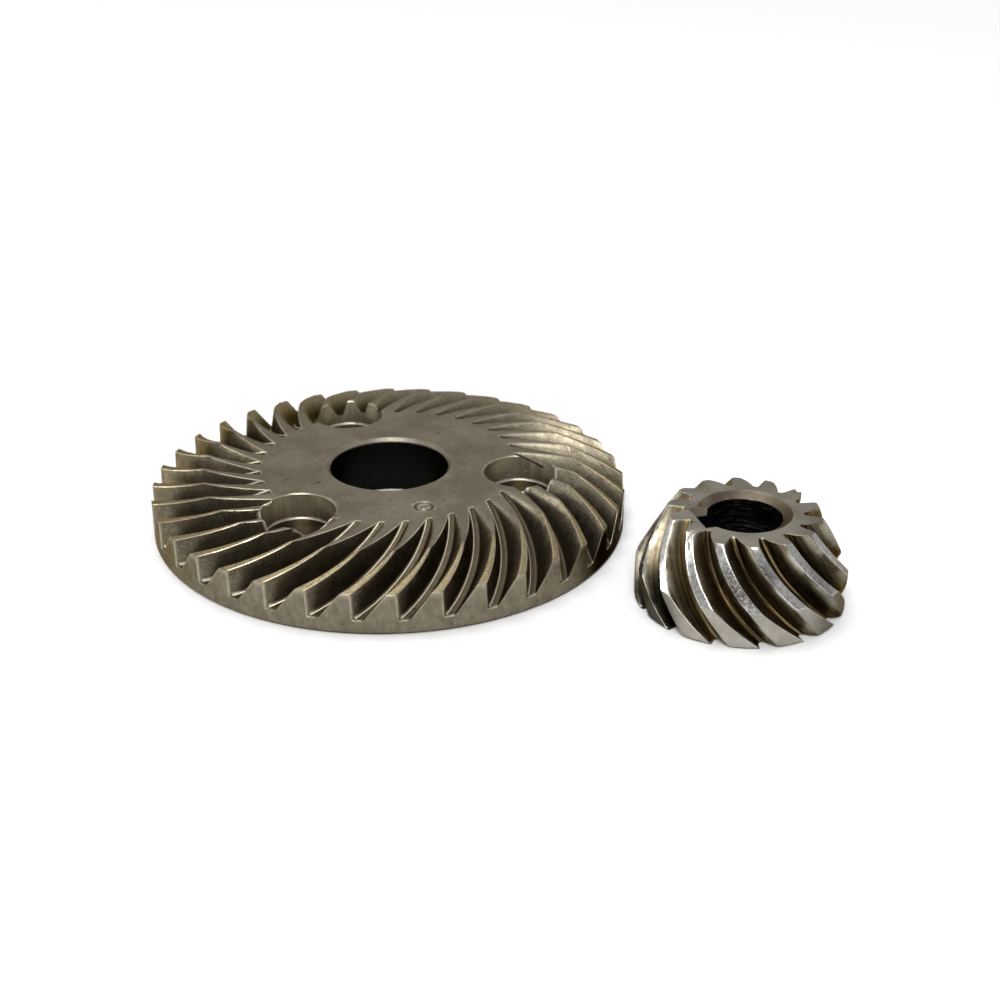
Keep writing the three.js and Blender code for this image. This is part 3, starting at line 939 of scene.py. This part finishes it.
def pinion_steel():
    n = Nodes("pinion_steel")
    land, deep, bore = n.mark("land"), n.mark("deep"), n.mark("bore")
    flank = n.maths("MAXIMUM", n.mark("left"), n.mark("right"))
    cloud = n.noise(0.25, 3, 0.5, 1)
    grain = n.noise(3.0, 3, 0.65, 3)
    speck = n.noise(3.4, 4, 0.7, 7)
    along = n.add("ShaderNodeAttribute", {"attribute_name": "unwound"}).outputs["Vector"]
    streak = n.noise(2.4, 4, 0.65, 5, along)
    end = n.blend(n.span(cloud, 0.35, 0.65), END_DARK, END_LIGHT)
    end = n.shade(end, n.span(grain, 0.3, 0.7, 0.93, 1.06))
    silver = n.blend(n.span(n.noise(1.7, 5, 0.75, 7), 0.36, 0.60), SILVER_DARK, SILVER_LIGHT)
    # Painted dark reflection on one front land: darker, speckled silver there.
    dull = n.blend(n.span(speck, 0.40, 0.68), DULL_LAND_SHADE, SILVER_DARK)
    silver = n.blend(n.near(PINION_AXIS, PAINTED_DULL_LAND), dull, silver)
    colour = n.blend(land, end, silver)
    beige = n.blend(n.span(cloud, 0.3, 0.7), BEIGE_DARK, BEIGE_LIGHT)
    beige = n.shade(beige, n.span(grain, 0.3, 0.7, 0.92, 1.07))
    colour = n.blend(n.mark("band"), colour, beige)
    heat = n.blend(n.span(streak, 0.40, 0.64), HEAT_DARK, HEAT_LIGHT)
    high = n.maths("MULTIPLY", n.span(deep, 0.05, 0.45, 1.0, 0.0), n.span(cloud, 0.40, 0.62))
    heat = n.blend(high, heat, HEAT_CREAM)
    root = n.blend(n.span(streak, 0.46, 0.60), ROOT_DARK, ROOT_GOLD)
    heat = n.blend(n.span(deep, 0.62, 0.85), heat, root)
    colour = n.blend(n.maths("MAXIMUM", flank, n.span(deep, 0.7, 0.9)), colour, heat)
    lead_in = n.blend(n.span(cloud, 0.4, 0.6), CHAMFER_BROWN, CHAMFER_GOLD)
    colour = n.blend(n.mark("lead_in"), colour, lead_in)
    # Painted shade in the bore, broken by lighter turning streaks.
    turning = n.noise((0.35, 0.35, 4.0), 4, 0.7, 8)
    turned = n.blend(n.span(turning, 0.50, 0.70), PAINTED_PINION_BORE_SHADE, END_LIGHT)
    colour = n.blend(n.span(bore, 0.85, 0.98), colour, turned)
    # Painted light on the key slot's wall near the mouth, painted shade below.
    slot = n.span(n.mark("slot"), 0.5, 0.9)
    low, high = (PINION_HEIGHT - depth for depth in KEY_WALL_DEPTH)
    mouth = n.span(n.height(), low, high)
    colour = n.blend(slot, colour, n.blend(mouth, PAINTED_BORE_SHADE, KEY_WALL_LIT))
    # Painted shade on the pinion's right side and a painted dark reflection low on its far left.
    for patch in PAINTED_PINION_SHADES:
        colour = n.shade(colour, n.near(PINION_AXIS, patch))
    # Painted shade in the creases.
    colour = n.blend(n.maths("MULTIPLY", n.mark("crease"), 0.3), colour, GRIME_AND_SHADE)
    worn = n.span(n.mark("edge"), 0.5, 1.0)
    worn = n.maths("MULTIPLY", worn, n.span(n.noise(1.3, 3, 0.6, 4), 0.3, 0.58, 0.4, 1.0))
    colour = n.blend(worn, colour, PINION_WORN)
    rough = n.span(n.noise(1.0, 3, 0.6, 6), 0.3, 0.7, 0.30, 0.42)
    rough = n.maths("SUBTRACT", rough, n.maths("MULTIPLY", n.maths("MAXIMUM", land, worn), 0.12))
    normal = n.bump(n.noise(3.5, 4, 0.65, 12), 0.010)
    normal = n.bump(n.maths("MULTIPLY", flank, streak), 0.02, normal)
    normal = n.bump(n.maths("MULTIPLY", bore, turning), 0.012, normal)
    key_wall = n.maths("MULTIPLY", slot, mouth)
    metal = n.maths("SUBTRACT", 1.0, n.maths("MULTIPLY", key_wall, KEY_WALL_DULL))
    return n.finish(colour, rough, normal, metal)


def make_gear(node, mesh, cutters, axis, zones, wear, chips, material):
    """Finishes one gear: cut, mark, wear, smooth, move to its axis and ride on its body."""
    gear = add_object(node + "_steel", mesh)
    cut(gear, cutters)
    mesh = gear.data
    mesh.name = gear.name
    bends = mark_edges(mesh)
    marks = zones(read(mesh.vertices, "co", float, 3) / MM)
    worn = marks.pop("worn")
    marks["edge"] = bends["edge"] * marks.pop("shine")
    marks["crease"] = bends["crease"]
    for name, values in marks.items():
        store(mesh, name, values)
    wear_down(mesh, bends["edge"] * worn, wear, chips)
    mesh.transform(Matrix.Translation((axis.x, axis.y, 0)))
    mesh.shade_smooth()
    mesh.set_sharp_from_angle(angle=SHARP_ANGLE)
    mesh.materials.clear()
    mesh.materials.append(material)
    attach(gear, node)
    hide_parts(node)


# ---- Stage ----
CAMERA_LENS = 58.79
CAMERA_ELEVATION = math.radians(26.564)
CAMERA_ROLL = math.radians(0.312)
CAMERA_DISTANCE = 0.2392
CAMERA_AIM = Vector((0.01601, 0.00067, 0.0022))  # from the ring gear's axis, on the floor
ROOM_BRIGHT_SIDE = (0, 0.8, 0.6)
ROOM_LEVELS = (0.32, 0.84)
CAMERA_FOCUS = (0, -0.024, 0.005)
CAMERA_APERTURE = 45
LAMP_DISTANCE = 1.2
FLOOR_SIZE = 4
FLOOR_WHITE = 0.92
FLOOR_FADE = (0.3, 0.8)  # metres from the middle
# Name, direction from the gears, size in metres and watts.
LAMPS = (
    ("key", (-0.05, -0.62, 0.76), 0.7, 9),
    ("overhead", (-0.1, 0.25, 1.0), 0.8, 4),
    ("left", (-0.97, 0.03, 0.22), 0.35, 3),
)


def make_camera():
    target = Vector((RING_AXIS.x, RING_AXIS.y, 0)) + CAMERA_AIM
    back = Vector((0, -math.cos(CAMERA_ELEVATION), math.sin(CAMERA_ELEVATION)))
    data = bpy.data.cameras.new("camera")
    data.lens = CAMERA_LENS
    data.sensor_width = 36
    data.clip_start = 0.01
    focus = bpy.data.objects.new("focus", None)
    focus.location = CAMERA_FOCUS
    bpy.context.scene.collection.objects.link(focus)
    data.dof.use_dof = True
    data.dof.focus_object = focus
    data.dof.aperture_fstop = CAMERA_APERTURE
    camera = bpy.data.objects.new("camera", data)
    camera.location = target + back * CAMERA_DISTANCE
    camera.rotation_euler = back.to_track_quat("Z", "Y").to_euler()
    camera.rotation_euler.rotate_axis("Z", CAMERA_ROLL)
    bpy.context.scene.collection.objects.link(camera)
    bpy.context.scene.camera = camera


def make_floor():
    bpy.ops.mesh.primitive_plane_add(size=FLOOR_SIZE, location=(0, 0, 0))
    floor = bpy.context.object
    floor.name = "floor"
    material = bpy.data.materials.new("floor")
    material.use_nodes = True
    shader = material.node_tree.nodes["Principled BSDF"]
    shader.inputs["Base Color"].default_value = (FLOOR_WHITE, FLOOR_WHITE, FLOOR_WHITE, 1)
    shader.inputs["Roughness"].default_value = 0.9
    shader.inputs["Specular IOR Level"].default_value = 0.2
    # Far away it fades into the room, so that no edge shows at low angles.
    nodes, links = material.node_tree.nodes, material.node_tree.links
    away = nodes.new("ShaderNodeVectorMath")
    away.operation = "LENGTH"
    links.new(nodes.new("ShaderNodeTexCoord").outputs["Object"], away.inputs[0])
    fade = nodes.new("ShaderNodeMapRange")
    fade.inputs["From Min"].default_value, fade.inputs["From Max"].default_value = FLOOR_FADE
    links.new(away.outputs["Value"], fade.inputs["Value"])
    mix = nodes.new("ShaderNodeMixShader")
    links.new(fade.outputs["Result"], mix.inputs[0])
    links.new(shader.outputs[0], mix.inputs[1])
    links.new(nodes.new("ShaderNodeBsdfTransparent").outputs[0], mix.inputs[2])
    links.new(mix.outputs[0], nodes["Material Output"].inputs["Surface"])
    floor.data.materials.append(material)


def make_lamp(name, direction, size, power):
    data = bpy.data.lights.new(name, "AREA")
    data.shape = "DISK"
    data.size = size
    data.energy = power
    lamp = bpy.data.objects.new(name, data)
    aim = Vector(direction).normalized()
    lamp.location = aim * LAMP_DISTANCE
    lamp.rotation_euler = aim.to_track_quat("Z", "Y").to_euler()
    lamp.visible_camera = False
    bpy.context.scene.collection.objects.link(lamp)


def make_studio():
    """A soft white room, brighter behind and to the left, with three soft lamps."""
    scene = bpy.context.scene
    world = bpy.data.worlds.new("studio")
    world.use_nodes = True
    tree = world.node_tree
    direction = tree.nodes.new("ShaderNodeTexCoord").outputs["Generated"]
    towards = tree.nodes.new("ShaderNodeVectorMath")
    towards.operation = "DOT_PRODUCT"
    towards.inputs[1].default_value = Vector(ROOM_BRIGHT_SIDE).normalized()
    tree.links.new(direction, towards.inputs[0])
    strength = tree.nodes.new("ShaderNodeMapRange")
    strength.inputs["From Min"].default_value = 0
    for name, level in zip(("To Min", "To Max"), ROOM_LEVELS):
        strength.inputs[name].default_value = level
    tree.links.new(towards.outputs["Value"], strength.inputs["Value"])
    seen = tree.nodes.new("ShaderNodeMix")
    seen.inputs[3].default_value = 1.0
    tree.links.new(tree.nodes.new("ShaderNodeLightPath").outputs["Is Camera Ray"], seen.inputs[0])
    tree.links.new(strength.outputs["Result"], seen.inputs[2])
    tree.links.new(seen.outputs[0], tree.nodes["Background"].inputs["Strength"])
    tree.nodes["Background"].inputs["Color"].default_value = (1, 1, 1, 1)
    scene.world = world
    scene.view_settings.view_transform = "Standard"
    for name, direction, size, power in LAMPS:
        make_lamp(name, direction, size, power)


make_gear("ring_gear", make_ring_mesh(), pocket_cutters() + [stamp_cutter()] + ring_nick_cutters(),
          RING_AXIS, ring_zones, RING_WEAR, (), ring_steel())
make_gear("pinion", make_pinion_mesh(), [keyway_cutter()],
          PINION_AXIS, pinion_zones, PINION_WEAR, PINION_CHIPS, pinion_steel())
make_camera()
make_floor()
make_studio()
